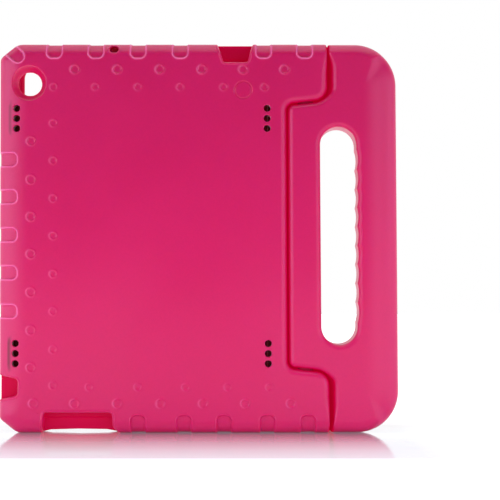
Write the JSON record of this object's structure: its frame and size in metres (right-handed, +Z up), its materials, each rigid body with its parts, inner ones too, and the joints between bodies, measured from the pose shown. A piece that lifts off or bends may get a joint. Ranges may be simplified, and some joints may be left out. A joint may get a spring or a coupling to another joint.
{
  "type": "tablet case",
  "caption": "Moulded foam tablet case with a carry handle that folds back on two hinge tabs as a stand, open tablet bay, camera, button, port and sound openings.",
  "frame": {"origin": "centre of the footprint at the lower edge the case stands on", "axes": "+X across the case towards the handle, +Y through the thickness towards the screen side, +Z up along the long edge"},
  "size_m": [0.279, 0.028, 0.272],
  "materials": {
    "foam": "fine-grained moulded foam, satin",
    "nylon": "moulded",
    "steel": "ground",
    "washer": "matt",
    "ring": "spring steel"
  },
  "bodies": {
    "case": {"case_shell": "foam", "upper_shell_bush": "nylon", "lower_shell_bush": "nylon"},
    "handle": {"handle_grip": "foam", "upper_handle_bush": "nylon", "lower_handle_bush": "nylon", "upper_hinge_pin": "steel", "lower_hinge_pin": "steel", "upper_friction_washer": "washer", "lower_friction_washer": "washer", "upper_retaining_ring": "ring", "lower_retaining_ring": "ring"}
  },
  "joints": [
    {"name": "handle_fold", "type": "hinge", "parent": "case", "child": "handle", "pos_m": [0.074, -0.005, 0.1375], "axis": [0, 0, -1], "range_deg": [0, 100]}
  ]
}
